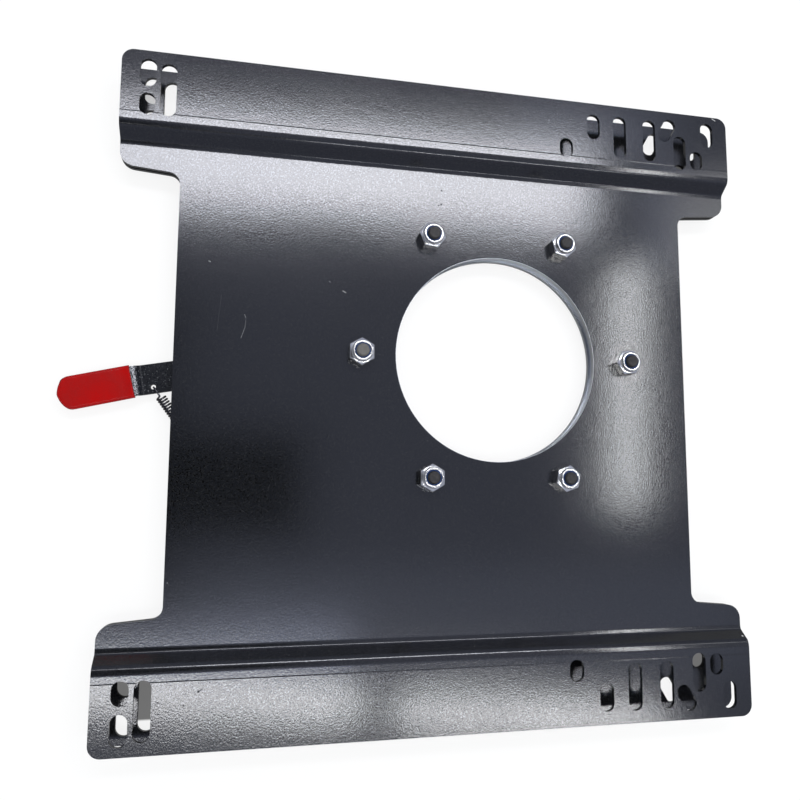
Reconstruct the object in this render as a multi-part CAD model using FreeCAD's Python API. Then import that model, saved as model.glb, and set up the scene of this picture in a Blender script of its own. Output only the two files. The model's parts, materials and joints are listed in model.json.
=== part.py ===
import FreeCAD, Part
import math
import os
from FreeCAD import Rotation, Vector

os.makedirs("parts", exist_ok=True)

# A swivel seat base: two joggled steel plates, one for the vehicle's seat box and one for the
# seat, turn on a bolted ring stack and lock with a sprung lever. Millimetres and degrees.
# The origin is the middle of the base plate's outline on the mounting surface, and +Z is up.

# Both plates are cut and folded alike: a flat middle between two raised flanges.
plate_length = 457.0            # along X, from flange edge to flange edge
plate_width = 453.0             # along Y, along the flanges
plate_thickness = 3.0
flange_flat = 47.8              # flat depth of a flange, where the slots are
flange_rise = 10.0              # how far a flange stands off the middle
plate_bend = ((18.0, 10.0), (34.0, 2.5))    # see step_run for how a bend is written
side_notch_length = 296.0       # along X at the notch's bottom
side_notch_mouth = 303.0        # along X at the plate's end, where the notch is wider
side_notch_depth = 39.5
flange_corner = 8.0
shoulder_corner = 10.0
notch_corner = 8.0

# Slots, each as: in from the end edge, in from the flange edge, overall length, lean.
slot_width = 10.5
front_slots = (
    (17.3, 15.5, 19.5, 0.0),
    (17.3, 37.6, 15.0, 0.0),
    (30.6, 26.5, 37.0, 0.0),
)
back_slots = (
    (135.8, 37.6, 15.0, 0.0),
    (113.5, 18.8, 19.5, 0.0),
    (91.8, 25.0, 33.0, 0.0),
    (67.1, 25.0, 33.0, 0.0),
    (51.9, 15.2, 19.5, 30.0),
    (41.3, 32.4, 27.0, 0.0),
    (27.2, 37.6, 15.0, 0.0),
    (17.3, 15.5, 19.5, 0.0),
)

# The ring stack from the cable hole out. It stands off the plates' middle, close to one
# flange and to the back notch, so that a turned seat clears the door pillar.
cable_hole_radius = 75.0
hole_to_bolts = 25.0            # from the cable hole's edge to the bolt circle
bolts_to_rim = 12.0             # from the bolt circle to the spacer ring's rim
bolt_count = 6
first_bolt_angle = 90.0
spacer_setback = 1.5            # the spacer's bore is set back from the cable hole
slide_land = 13.8               # how far the slide rings reach over the base plate
clamp_margin = 2.0              # how far the clamp ring reaches past the slide rings
clamp_thickness = 3.0
ring_to_bend = 5.9
ring_to_notch = 19.0
slide_thickness = 1.9           # the nylon rings above and below the base plate
collar_wall = 1.9               # the upper ring's collar, which lines the base plate's bore
slide_gap = 0.1                 # running gap over a slide ring
side_gap = 0.3                  # gap between the spacer and the collar round it
seat_gap = 0.05                 # gap round a pin or bolt that is held in its hole

# M10 countersunk socket screws and tall lock nuts.
bolt_radius = 5.0
bolt_clearance = 0.25
bolt_end_chamfer = 0.8
bolt_head_radius = 10.0
bolt_socket_width = 6.0
bolt_socket_depth = 3.5
bolt_above_nut = 2.0
nut_width = 17.0
nut_height = 12.5
nut_hex_height = 9.0
nut_collar_wall = 1.1
nut_turns = (-25.0, 13.0, 22.0, 0.0, 0.0, -11.0)   # where each nut stopped when it was tightened
insert_wall = 0.85
insert_height = 2.6
insert_recess = 0.7

# The release lever: a bell crank whose tooth drops into a notch in the clamp ring.
ring_to_pivot = 20.0            # from the clamp ring's rim to the lever's pivot
pivot_angle = -88.05
pivot_shank_radius = 6.0
pivot_head_radius = 9.0
pivot_head_thickness = 2.0
pivot_fit = 0.08
lever_width = 20.0
lever_angle = -79.6
lever_past_edge = 72.5          # how far the tongue reaches past the front notch's edge
lever_end_play = 0.05
lever_bend = ((35.0, 3.0),)     # the crank beside the grip
lever_crank_rise = 3.0
crank_past_edge = 26.7
tongue_turn = 2.1               # the grip's end is also set round a little
tip_setback = 3.0               # the tongue's end corners stand back from its blunt nose
tip_radius = 5.0
grip_wall = 1.0
grip_length = 46.7
engage_angle = 5.6              # from the free position until the tooth is home
pull_angle = 10.0               # from the free position to the stop
notch_count = 4
notch_half_width = 6.6
notch_depth = 7.5
notch_taper = 8.0
tooth_end_gap = 0.6
tooth_clearance = 0.45
arm_clearance = 2.5             # between the arm and the ring when the tooth is home

# The return spring, its post and the lever's stop.
hook_past_edge = 14.0
spring_hook_across = 5.6
spring_angle = 36.3
post_before_edge = 23.9
spring_radius = 2.45
spring_wire_radius = 0.55
coil_wall_extra = 0.06          # the coil's tube is thicker than its wire by this on each face
spring_leg = 5.0
hook_tail = 1.5
hook_hole_radius = 1.7
post_radius = 3.0
post_groove_radius = 1.8
stop_radius = 4.0
stop_before_edge = 16.3
stop_gap = 0.35
pin_shank_radius = 2.5

# Radii that follow from the ring stack, the bolts and the notches.
bolt_circle_radius = cable_hole_radius + hole_to_bolts
spacer_inner_radius = cable_hole_radius + spacer_setback
spacer_outer_radius = bolt_circle_radius + bolts_to_rim
bore_radius = spacer_outer_radius + side_gap + collar_wall
slide_outer_radius = bore_radius + slide_land
clamp_outer_radius = slide_outer_radius + clamp_margin
pivot_radius_out = clamp_outer_radius + ring_to_pivot
bolt_clearance_radius = bolt_radius + bolt_clearance
insert_radius = bolt_radius + seat_gap + insert_wall
nut_collar_radius = insert_radius + nut_collar_wall
tooth_depth = notch_depth - tooth_end_gap

# Heights, from the floor up.
base_underside = flange_rise
base_top = base_underside + plate_thickness
top_underside = base_top + slide_thickness + slide_gap
top_upper = top_underside + plate_thickness
clamp_top = base_underside - slide_thickness - slide_gap
clamp_bottom = clamp_top - clamp_thickness
nut_top = top_upper + nut_height
spring_height = (clamp_top + clamp_bottom) / 2


def polar(radius, angle, height=0.0):
    turn = math.radians(angle)
    return Vector(radius * math.cos(turn), radius * math.sin(turn), height)


def line(start, end):
    return Part.LineSegment(start, end).toShape()


def arc(start, middle, end):
    return Part.Arc(start, middle, end).toShape()


# A flat face from corners given as point and radius, each corner rounded by its own arc.
def rounded_face(corners):
    edges = []
    tangents = []
    for i, (corner, radius) in enumerate(corners):
        arriving = (corner - corners[i - 1][0]).normalize()
        leaving = (corners[(i + 1) % len(corners)][0] - corner).normalize()
        turn = arriving.getAngle(leaving)
        reach = radius * math.tan(turn / 2)
        inward = (leaving - arriving).normalize()
        centre = corner + inward * (radius / math.cos(turn / 2))
        tangents.append((corner - arriving * reach, centre - inward * radius, corner + leaving * reach))
    for i, (start, middle, end) in enumerate(tangents):
        edges.append(line(tangents[i - 1][2], start))
        edges.append(arc(start, middle, end))
    return Part.Face(Part.Wire(edges))


def prism(face, bottom, top):
    solid = face.extrude(Vector(0, 0, top - bottom))
    solid.translate(Vector(0, 0, bottom))
    return solid


def disc(centre, radius, bottom, top):
    return Part.makeCylinder(radius, top - bottom, Vector(centre.x, centre.y, bottom))


# A solid of revolution about a vertical line through centre, from (radius, height) corners.
def turned(centre, profile):
    points = [Vector(centre.x + radius, centre.y, height) for radius, height in profile]
    face = Part.Face(Part.makePolygon(points + points[:1]))
    return face.revolve(Vector(centre.x, centre.y, 0), Vector(0, 0, 1), 360)


# A point in the side view, by its distance from the origin and its angle above +X.
def upright(distance, angle):
    turn = math.radians(angle)
    return Vector(distance * math.cos(turn), 0, distance * math.sin(turn))


# A bend in sheet is written as its parts, each a turn and an inside radius, from the flat that it
# leaves to the ramp. A step has one bend below its ramp and the same one above, turned round.
def ramp_slope(bend):
    return sum(turn for turn, radius in bend)


# How far a bend takes the sheet's middle along and up.
def bend_reach(thickness, bend):
    along, climb, heading = 0.0, 0.0, 0.0
    for turn, radius in bend:
        middle = radius + thickness / 2
        before, after = math.radians(heading), math.radians(heading + turn)
        along += middle * (math.sin(after) - math.sin(before))
        climb += middle * (math.cos(before) - math.cos(after))
        heading += turn
    return along, climb


def ramp_length(rise, thickness, bend):
    along, climb = bend_reach(thickness, bend)
    return (rise - 2 * climb) / math.sin(math.radians(ramp_slope(bend)))


# How far a step in sheet runs, from flat to flat.
def step_run(rise, thickness, bend):
    along, climb = bend_reach(thickness, bend)
    slope = math.radians(ramp_slope(bend))
    return 2 * along + ramp_length(rise, thickness, bend) * math.cos(slope)


# The edges of one face of stepped sheet, seen from the side, from the low flat's start to the
# high flat's end. Each bend's radius grows by the sheet where the face is on its outside.
def step_edges(start, foot, tip, ramp, bend, foot_growth, head_growth):
    edges = [line(start, foot)]
    place, heading = foot, 0.0
    foot_arcs = [(turn, radius + foot_growth) for turn, radius in bend]
    head_arcs = [(-turn, radius + head_growth) for turn, radius in reversed(bend)]
    for arcs, run in ((foot_arcs, ramp), (head_arcs, None)):
        for turn, radius in arcs:
            side = math.copysign(90.0, turn)
            centre = place + upright(radius, heading + side)
            middle = centre + upright(radius, heading + turn / 2 - side)
            heading += turn
            end = centre + upright(radius, heading - side)
            edges.append(arc(place, middle, end))
            place = end
        end = tip if run is None else place + upright(run, heading)
        edges.append(line(place, end))
        place = end
    return edges


# A strip of sheet along +X with its underside at z = 0, which steps up by rise and runs on flat.
def joggled_strip(back, step_end, tip, rise, thickness, bend, width):
    foot = step_end - step_run(rise, thickness, bend)
    ramp = ramp_length(rise, thickness, bend)
    edges = []
    for lift, foot_growth, head_growth in ((0.0, thickness, 0.0), (thickness, 0.0, thickness)):
        edges += step_edges(Vector(back, 0, lift), Vector(foot, 0, lift), Vector(tip, 0, rise + lift),
                            ramp, bend, foot_growth, head_growth)
    edges.append(line(Vector(back, 0, 0), Vector(back, 0, thickness)))
    edges.append(line(Vector(tip, 0, rise), Vector(tip, 0, rise + thickness)))
    face = Part.Face(Part.Wire(Part.__sortEdges__(edges)))
    strip = face.extrude(Vector(0, width, 0))
    strip.translate(Vector(0, -width / 2, 0))
    return strip


def slot_cutter(x, y, length, lean):
    reach = polar((length - slot_width) / 2, lean)
    side = polar(slot_width / 2, lean + 90)
    end = polar(slot_width / 2, lean)
    middle = Vector(x, y, 0)
    edges = [
        line(middle - reach - side, middle + reach - side),
        arc(middle + reach - side, middle + reach + end, middle + reach + side),
        line(middle + reach + side, middle - reach + side),
        arc(middle - reach + side, middle - reach - end, middle - reach - side),
    ]
    deep = 2 * (flange_rise + plate_thickness)
    return prism(Part.Face(Part.Wire(edges)), -deep, deep)


def slot_cutters():
    cutters = []
    for side in (-1, 1):
        for rows, end in ((front_slots, -1), (back_slots, 1)):
            for from_end, from_edge, length, lean in rows:
                x = side * (plate_length / 2 - from_edge)
                y = end * (plate_width / 2 - from_end)
                cutters.append(slot_cutter(x, y, length, side * end * lean))
    return cutters


# The outline that both plates share: an H lying on its side, with every corner rounded.
def plate_outline():
    half_length = plate_length / 2
    half_width = plate_width / 2
    waist = half_width - side_notch_depth
    quarter = (
        (half_length, half_width, flange_corner),
        (side_notch_mouth / 2, half_width, shoulder_corner),
        (side_notch_length / 2, waist, notch_corner),
    )
    corners = []
    for across, along, order in ((1, 1, 1), (-1, 1, -1), (-1, -1, 1), (1, -1, -1)):
        for x, y, radius in quarter[::order]:
            corners.append((Vector(across * x, along * y, 0), radius))
    return rounded_face(corners)


# One plate with its middle's underside at z = 0 and its flanges raised.
def joggled_plate():
    half_length = plate_length / 2
    half = joggled_strip(0, half_length - flange_flat, half_length, flange_rise, plate_thickness,
                         plate_bend, plate_width)
    other = half.mirror(Vector(0, 0, 0), Vector(1, 0, 0))
    sheet = half.fuse(other).removeSplitter()
    blank = sheet.common(prism(plate_outline(), -plate_thickness, flange_rise + 2 * plate_thickness))
    return blank.cut(slot_cutters())


# The swivel's axis.
def swivel_place():
    flat_half = plate_length / 2 - flange_flat - step_run(flange_rise, plate_thickness, plate_bend)
    waist = plate_width / 2 - side_notch_depth
    room_beside = flat_half - clamp_outer_radius - ring_to_bend
    room_behind = waist - clamp_outer_radius - ring_to_notch
    return Vector(-room_beside, room_behind, 0)


swivel = swivel_place()


def bolt_places():
    step = 360.0 / bolt_count
    return [swivel + polar(bolt_circle_radius, first_bolt_angle + step * i) for i in range(bolt_count)]


def pivot_place():
    return swivel + polar(pivot_radius_out, pivot_angle)


# How far along the lever, from its pivot, the base plate's front notch begins.
def edge_along():
    waist = plate_width / 2 - side_notch_depth
    return (waist + pivot_place().y) / math.sin(math.radians(-lever_angle))


# A point of the lever, along its bar and across it, when the lever is turned by swing.
def lever_point(along, across, swing=0.0):
    angle = lever_angle + swing
    return pivot_place() + polar(along, angle) + polar(across, angle + 90)


def spring_ends():
    hook = lever_point(edge_along() + hook_past_edge, spring_hook_across)
    post_y = side_notch_depth + post_before_edge - plate_width / 2
    length = (post_y - hook.y) / math.sin(math.radians(spring_angle))
    return hook, hook + polar(length, spring_angle)


def stop_place():
    across = -(lever_width / 2 + stop_radius + stop_gap)
    return lever_point(edge_along() - stop_before_edge, across, -pull_angle)


def build_top_plate():
    plate = joggled_plate()
    plate.translate(Vector(0, 0, top_underside))
    cutters = [disc(swivel, cable_hole_radius, top_underside - 1, top_upper + 1)]
    for place in bolt_places():
        cutters.append(disc(place, bolt_clearance_radius, top_underside - 1, top_upper + 1))
    return plate.cut(cutters)


def build_bottom_plate():
    plate = joggled_plate().mirror(Vector(0, 0, 0), Vector(0, 0, 1))
    plate.translate(Vector(0, 0, base_top))
    cutters = [disc(swivel, bore_radius, base_underside - 1, base_top + 1)]
    held_pins = (
        (pivot_place(), pivot_shank_radius),
        (stop_place(), pin_shank_radius),
        (spring_ends()[1], pin_shank_radius),
    )
    for place, radius in held_pins:
        cutters.append(disc(place, radius + seat_gap, base_underside - 1, base_top + 1))
    return plate.cut(cutters)


# The countersink of a socket screw, from the clamp ring's underside up.
def countersink(place, extra=0.0):
    head = bolt_head_radius + extra
    shank = bolt_radius + extra
    rim = 0.4
    profile = (
        (0, clamp_bottom - extra),
        (head, clamp_bottom - extra),
        (head, clamp_bottom + rim),
        (shank, clamp_bottom + rim + head - shank),
        (0, clamp_bottom + rim + head - shank),
    )
    return turned(place, profile)


def build_spacer_ring():
    ring = disc(swivel, spacer_outer_radius, clamp_top, top_underside)
    cutters = [disc(swivel, spacer_inner_radius, clamp_top - 1, top_underside + 1)]
    for place in bolt_places():
        cutters.append(disc(place, bolt_clearance_radius, clamp_top - 1, top_underside + 1))
        cutters.append(countersink(place, seat_gap))
    return ring.cut(cutters)


# Half the width of the notch at a radius from the swivel's axis.
def notch_half_at(radius):
    return notch_half_width - (clamp_outer_radius - radius) * math.tan(math.radians(notch_taper))


# The direction from the swivel's axis in which the tooth stands when it is home. The tooth
# moves straight in there, because its radius then meets the lever's arm squarely.
def tooth_angle():
    square = clamp_outer_radius - tooth_depth / 2
    return pivot_angle + math.degrees(math.acos(square / pivot_radius_out))


# A tapered block centred on a direction from the swivel's axis, seen from above.
def wedge(angle, inner, outer, gap, corner):
    across = angle + 90
    points = []
    for radius, sides in ((inner, (-1, 1)), (outer, (1, -1))):
        for side in sides:
            half = notch_half_at(radius) - gap
            points.append((swivel + polar(radius, angle) + polar(side * half, across), corner))
    return rounded_face(points)


def build_clamp_ring():
    ring = disc(swivel, clamp_outer_radius, clamp_bottom, clamp_top)
    cutters = [disc(swivel, cable_hole_radius, clamp_bottom - 1, clamp_top + 1)]
    for place in bolt_places():
        cutters.append(disc(place, bolt_clearance_radius, clamp_bottom - 1, clamp_top + 1))
        cutters.append(countersink(place, seat_gap))
    for i in range(notch_count):
        angle = tooth_angle() + 360.0 / notch_count * i
        inner = clamp_outer_radius - notch_depth
        face = wedge(angle, inner, clamp_outer_radius + notch_depth, 0.0, 1.0)
        cutters.append(prism(face, clamp_bottom - 1, clamp_top + 1))
    return ring.cut(cutters)


# The upper slide ring lies on the base plate and lines its bore with a collar.
def build_upper_slide_ring():
    inner = spacer_outer_radius + side_gap
    profile = (
        (inner, base_underside),
        (bore_radius, base_underside),
        (bore_radius, base_top),
        (slide_outer_radius, base_top),
        (slide_outer_radius, base_top + slide_thickness),
        (inner, base_top + slide_thickness),
    )
    return turned(swivel, profile)


def build_lower_slide_ring():
    ring = disc(swivel, slide_outer_radius, base_underside - slide_thickness, base_underside)
    hole = disc(swivel, spacer_outer_radius + side_gap, clamp_top - 1, base_underside + 1)
    return ring.cut(hole)


def hexagon(place, width, turn, bottom, top):
    corners = [place + polar(width / math.sqrt(3), turn + 60 * i) for i in range(6)]
    face = Part.Face(Part.makePolygon(corners + corners[:1]))
    return prism(face, bottom, top)


def build_ring_bolt(place):
    end = nut_top + bolt_above_nut
    shank = turned(place, (
        (0, clamp_bottom),
        (bolt_radius, clamp_bottom),
        (bolt_radius, end - bolt_end_chamfer),
        (bolt_radius - bolt_end_chamfer, end),
        (0, end),
    ))
    socket = hexagon(place, bolt_socket_width, first_bolt_angle, clamp_bottom - 1,
                     clamp_bottom + bolt_socket_depth)
    return shank.fuse(countersink(place)).removeSplitter().cut(socket)


# A lock nut: a hexagon, chamfered on top, under a crimped collar that holds the insert.
def build_lock_nut(place, turn):
    corner = nut_width / math.sqrt(3)
    drop = (corner - nut_width / 2) * math.tan(math.radians(30))
    shoulder = top_upper + nut_hex_height
    lip = 0.9
    shell = turned(place, (
        (0, top_upper),
        (corner + 0.1, top_upper),
        (corner + 0.1, shoulder - drop),
        (nut_collar_radius + 0.5, shoulder + 0.2),
        (nut_collar_radius, nut_top - lip),
        (nut_collar_radius - lip, nut_top),
        (0, nut_top),
    ))
    body = shell.common(hexagon(place, nut_width, turn, top_upper, nut_top))
    cavity = turned(place, (
        (0, top_upper - 1),
        (bolt_radius + seat_gap, top_upper - 1),
        (bolt_radius + seat_gap, nut_top - insert_recess - insert_height),
        (insert_radius, nut_top - insert_recess - insert_height),
        (insert_radius, nut_top + 0.1),
        (0, nut_top + 0.1),
    ))
    return body.cut(cavity)


def build_nut_insert(place):
    bottom = nut_top - insert_recess - insert_height
    ring = disc(place, insert_radius, bottom, bottom + insert_height)
    return ring.cut(disc(place, bolt_radius + seat_gap, bottom - 1, nut_top))


# The lever's outline in its free position: the cranked bar, the arm and the rounded pivot end.
def lever_outline():
    half = lever_width / 2
    free = Rotation(Vector(0, 0, 1), -engage_angle)
    pivot = pivot_place()
    home = tooth_angle()

    def arm_point(radius, across):
        place = swivel + polar(radius, home) + polar(across, home + 90)
        return pivot + free.multVec(place - pivot)

    lever_length = edge_along() + lever_past_edge
    turned_from = edge_along() + crank_past_edge - 5
    elbow = turned_from * (1 - math.cos(math.radians(tongue_turn)))

    def tongue_point(along, across):
        shift = turned_from * math.tan(math.radians(tongue_turn))
        return lever_point(along + elbow, across - shift, tongue_turn)

    end_across = notch_half_at(clamp_outer_radius) + 1.0
    corners = (
        (tongue_point(lever_length - tip_setback, -half), tip_radius),
        (tongue_point(lever_length, 0), tip_radius),
        (tongue_point(lever_length - tip_setback, half), tip_radius),
        (lever_point(turned_from, half), 60.0),
        (lever_point(lever_width * 1.2, half), 14.0),
        (arm_point(pivot_radius_out, end_across), 7.0),
        (arm_point(clamp_outer_radius + 1, end_across), 1.0),
        (lever_point(-lever_width * 0.6, -half), half - 0.5),
        (lever_point(turned_from, -half), 60.0),
    )
    relief_centre = pivot + free.multVec(swivel - pivot)
    return rounded_face(corners), relief_centre


def lever_strip(back, tip, thickness, lift, width):
    step_end = edge_along() + crank_past_edge
    strip = joggled_strip(back, step_end, tip, lever_crank_rise, thickness, lever_bend, width)
    strip.rotate(Vector(0, 0, 0), Vector(0, 0, 1), lever_angle)
    strip.translate(pivot_place() + Vector(0, 0, clamp_bottom + lift))
    return strip


def build_release_lever():
    outline, relief_centre = lever_outline()
    ceiling = clamp_top + lever_crank_rise + 1
    blank = prism(outline, clamp_bottom - 1, ceiling)
    relief = disc(relief_centre, clamp_outer_radius + arm_clearance, clamp_bottom - 2, ceiling + 1)
    tooth_face = wedge(tooth_angle(), clamp_outer_radius - tooth_depth,
                       clamp_outer_radius + 3 * arm_clearance, tooth_clearance, 1.0)
    tooth = prism(tooth_face, clamp_bottom - 1, ceiling)
    tooth.rotate(pivot_place(), Vector(0, 0, 1), -engage_angle)
    reach = 2 * (edge_along() + lever_past_edge)
    sheet = lever_strip(-reach, reach, clamp_thickness, 0.0, reach)
    lever = blank.cut(relief).fuse(tooth).removeSplitter().common(sheet)
    hook_hole = spring_ends()[0]
    return lever.cut([
        disc(pivot_place(), pivot_shank_radius + pivot_fit, clamp_bottom - 1, clamp_top + 1),
        disc(hook_hole, hook_hole_radius, clamp_bottom - 1, clamp_top + 1),
    ])


# The dipped grip: a soft sleeve as wide as the tongue plus its wall, closed over the end.
def build_lever_grip(lever):
    half = lever_width / 2 + grip_wall
    bottom = clamp_bottom + lever_crank_rise - grip_wall
    thick = clamp_thickness + 2 * grip_wall
    shift = (edge_along() + crank_past_edge - 5) * math.tan(math.radians(tongue_turn))
    far = edge_along() + lever_past_edge + grip_wall
    start = far - grip_length
    corners = (
        (lever_point(far - tip_setback, -half - shift, tongue_turn), tip_radius + grip_wall),
        (lever_point(far, -shift, tongue_turn), tip_radius + grip_wall),
        (lever_point(far - tip_setback, half - shift, tongue_turn), tip_radius + grip_wall),
        (lever_point(start, half - shift, tongue_turn), 0.8),
        (lever_point(start, -half - shift, tongue_turn), 0.8),
    )
    sleeve = prism(rounded_face(corners), bottom, bottom + thick)
    rims = [edge for edge in sleeve.Edges if edge.BoundBox.ZLength < 0.01]
    return sleeve.makeFillet(1.1, rims).cut(lever)


def build_lever_pivot():
    head_top = clamp_bottom - lever_end_play
    head_bottom = head_top - pivot_head_thickness
    edge = 0.6
    return turned(pivot_place(), (
        (0, head_bottom),
        (pivot_head_radius - edge, head_bottom),
        (pivot_head_radius, head_bottom + edge),
        (pivot_head_radius, head_top),
        (pivot_shank_radius, head_top),
        (pivot_shank_radius, base_top),
        (0, base_top),
    ))


def build_pivot_washer():
    place = pivot_place()
    bottom = clamp_top + lever_end_play
    washer = disc(place, pivot_head_radius + 1.5, bottom, base_underside)
    return washer.cut(disc(place, pivot_shank_radius + seat_gap, bottom - 1, base_underside + 1))


def build_lever_stop():
    low = clamp_bottom - 0.5
    return turned(stop_place(), (
        (0, low),
        (stop_radius - 0.5, low),
        (stop_radius, low + 0.5),
        (stop_radius, base_underside),
        (pin_shank_radius, base_underside),
        (pin_shank_radius, base_top),
        (0, base_top),
    ))


def build_spring_post():
    low = spring_height - 3.2
    groove = spring_wire_radius + 0.25
    return turned(spring_ends()[1], (
        (0, low),
        (post_radius - 0.5, low),
        (post_radius, low + 0.5),
        (post_radius, spring_height - groove - 0.6),
        (post_groove_radius, spring_height - groove),
        (post_groove_radius, spring_height + groove),
        (post_radius, spring_height + groove + 0.6),
        (post_radius, base_underside),
        (pin_shank_radius, base_underside),
        (pin_shank_radius, base_top),
        (0, base_top),
    ))


# One end of the spring, drawn along +Z: a leg off the coil and a half round that hooks back.
def spring_hook(leg):
    r = spring_radius
    start = Vector(r, 0, -1)
    far_side = Vector(-r, 0, leg)
    edges = [
        line(start, Vector(r, 0, leg)),
        arc(Vector(r, 0, leg), Vector(0, 0, leg + r), far_side),
        line(far_side, far_side - Vector(0, 0, hook_tail)),
    ]
    circle = Part.Wire(Part.makeCircle(spring_wire_radius, start, Vector(0, 0, 1)))
    return Part.Wire(edges).makePipeShell([circle], True, True)


# The return spring along +Z, its coil as a tube, then turned onto the line between its ends.
# The near hook stands upright through the lever's hole and the far one lies round the post.
def build_return_spring():
    hook, post = spring_ends()
    into_hole = hook_hole_radius / 6
    round_post = post_groove_radius + spring_wire_radius + seat_gap
    reach = spring_leg + spring_radius
    coil_length = hook.distanceToPoint(post) - into_hole + round_post - 2 * reach
    half_wall = spring_wire_radius + coil_wall_extra
    outer = Part.makeCylinder(spring_radius + half_wall, coil_length)
    coil = outer.cut(Part.makeCylinder(spring_radius - half_wall, coil_length))
    far_hook = spring_hook(spring_leg)
    far_hook.rotate(Vector(0, 0, 0), Vector(0, 0, 1), 90)
    far_hook.translate(Vector(0, 0, coil_length))
    near_hook = spring_hook(spring_leg)
    near_hook.rotate(Vector(0, 0, 0), Vector(1, 0, 0), 180)
    spring = coil.fuse([far_hook, near_hook])
    along = (post - hook).normalize()
    up = Vector(0, 0, 1)
    spring.Placement = FreeCAD.Placement(
        Vector(hook.x, hook.y, spring_height) + along * (into_hole + reach),
        Rotation(up, along.cross(up), along, "ZXY"),
    )
    return spring


def export(shape, name):
    if not shape.isValid() or shape.Volume <= 0:
        raise ValueError(name + " did not build as a valid solid")
    solids = shape.Solids
    if len(solids) != 1:
        raise ValueError(name + " has " + str(len(solids)) + " solids")
    solids[0].exportStep("parts/" + name + ".step")


def main():
    lever = build_release_lever()
    shapes = {
        "bottom_plate": build_bottom_plate(),
        "top_plate": build_top_plate(),
        "upper_slide_ring": build_upper_slide_ring(),
        "lower_slide_ring": build_lower_slide_ring(),
        "spacer_ring": build_spacer_ring(),
        "clamp_ring": build_clamp_ring(),
        "release_lever": lever,
        "lever_grip": build_lever_grip(lever),
        "lever_pivot": build_lever_pivot(),
        "pivot_washer": build_pivot_washer(),
        "lever_stop": build_lever_stop(),
        "spring_post": build_spring_post(),
        "return_spring": build_return_spring(),
    }
    for i, (place, turn) in enumerate(zip(bolt_places(), nut_turns), 1):
        shapes["ring_bolt_" + str(i)] = build_ring_bolt(place)
        shapes["lock_nut_" + str(i)] = build_lock_nut(place, turn)
        shapes["nut_insert_" + str(i)] = build_nut_insert(place)
    for name, shape in shapes.items():
        export(shape, name)


main()
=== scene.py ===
import json
import math

import bmesh
import bpy
from mathutils import Matrix, Vector


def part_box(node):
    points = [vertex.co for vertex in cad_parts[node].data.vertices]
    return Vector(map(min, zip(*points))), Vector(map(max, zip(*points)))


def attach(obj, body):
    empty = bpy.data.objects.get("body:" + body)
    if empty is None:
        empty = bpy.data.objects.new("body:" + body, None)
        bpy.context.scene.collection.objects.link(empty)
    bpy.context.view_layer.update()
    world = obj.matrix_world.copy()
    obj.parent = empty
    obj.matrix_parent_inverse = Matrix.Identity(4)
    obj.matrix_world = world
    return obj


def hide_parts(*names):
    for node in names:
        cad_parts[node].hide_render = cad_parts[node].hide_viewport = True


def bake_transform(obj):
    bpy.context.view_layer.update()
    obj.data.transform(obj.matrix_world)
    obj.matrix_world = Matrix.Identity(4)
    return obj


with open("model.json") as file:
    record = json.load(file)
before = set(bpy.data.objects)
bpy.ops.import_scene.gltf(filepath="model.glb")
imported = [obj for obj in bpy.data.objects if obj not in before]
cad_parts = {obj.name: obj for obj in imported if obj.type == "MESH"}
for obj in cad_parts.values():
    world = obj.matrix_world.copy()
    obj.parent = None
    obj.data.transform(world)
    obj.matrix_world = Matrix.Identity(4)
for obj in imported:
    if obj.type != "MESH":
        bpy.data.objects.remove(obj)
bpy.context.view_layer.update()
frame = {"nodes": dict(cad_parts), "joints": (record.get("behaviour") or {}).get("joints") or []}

# A swivel seat base lying on its base plate, seen from above with its lever to the left.
# Everything is in metres, and mm() turns millimetres into them. A look or shape gives its angles in
# degrees.

nodes = frame["nodes"]
joints = {joint["name"]: joint for joint in frame["joints"]}
swivelAxis = Vector(joints["seat_swivel"]["pos_m"])
leverAxis = Vector(joints["lever_pull"]["pos_m"])


def mm(value):
    return value / 1000


def heading(degrees):
    turn = math.radians(degrees)
    return Vector((math.cos(turn), math.sin(turn), 0))


def middleOf(node):
    low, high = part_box(node)
    return (low + high) / 2


leverTurn = -79.6
leverAlong = heading(leverTurn)          # from the lever's rivet towards its grip
leverAside = heading(leverTurn + 90)

# material helpers

# A look gives each of its noise textures as scale, detail and roughness, and most of the values
# that these return lie in the noise span.
noiseSpan = (0.3, 0.7)


def bareMaterial(name):
    material = bpy.data.materials.new(name)
    material.use_nodes = True
    material.node_tree.nodes.clear()
    return material, material.node_tree


def startMaterial(name):
    material = bpy.data.materials.new(name)
    material.use_nodes = True
    return material, material.node_tree, material.node_tree.nodes["Principled BSDF"]


# Links each input that is given a socket, and sets the others to their plain value.
def setInputs(tree, node, inputs):
    for socket, value in inputs.items():
        if isinstance(value, bpy.types.NodeSocket):
            tree.links.new(value, node.inputs[socket])
        else:
            node.inputs[socket].default_value = value


def addNode(tree, kind, inputs=None, **settings):
    node = tree.nodes.new(kind)
    for name, value in settings.items():
        setattr(node, name, value)
    setInputs(tree, node, inputs or {})
    return node


def mathNode(tree, operation, first, second=0.0, clamp=False):
    node = addNode(tree, "ShaderNodeMath", {0: first, 1: second}, operation=operation, use_clamp=clamp)
    return node.outputs[0]


def vectorNode(tree, operation, first, second=(0, 0, 0)):
    node = addNode(tree, "ShaderNodeVectorMath", {0: first, 1: second}, operation=operation)
    single = operation in ("DOT_PRODUCT", "LENGTH", "DISTANCE")
    return node.outputs["Value" if single else "Vector"]


def partsOf(tree, vector):
    return addNode(tree, "ShaderNodeSeparateXYZ", {0: vector}).outputs


def objectPlace(tree):
    return addNode(tree, "ShaderNodeTexCoord").outputs["Object"]


def noiseValue(tree, place, scale, detail, roughness):
    node = addNode(tree, "ShaderNodeTexNoise", {"Vector": place, "Scale": scale, "Detail": detail,
                                                "Roughness": roughness})
    return node.outputs["Fac"]


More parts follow.
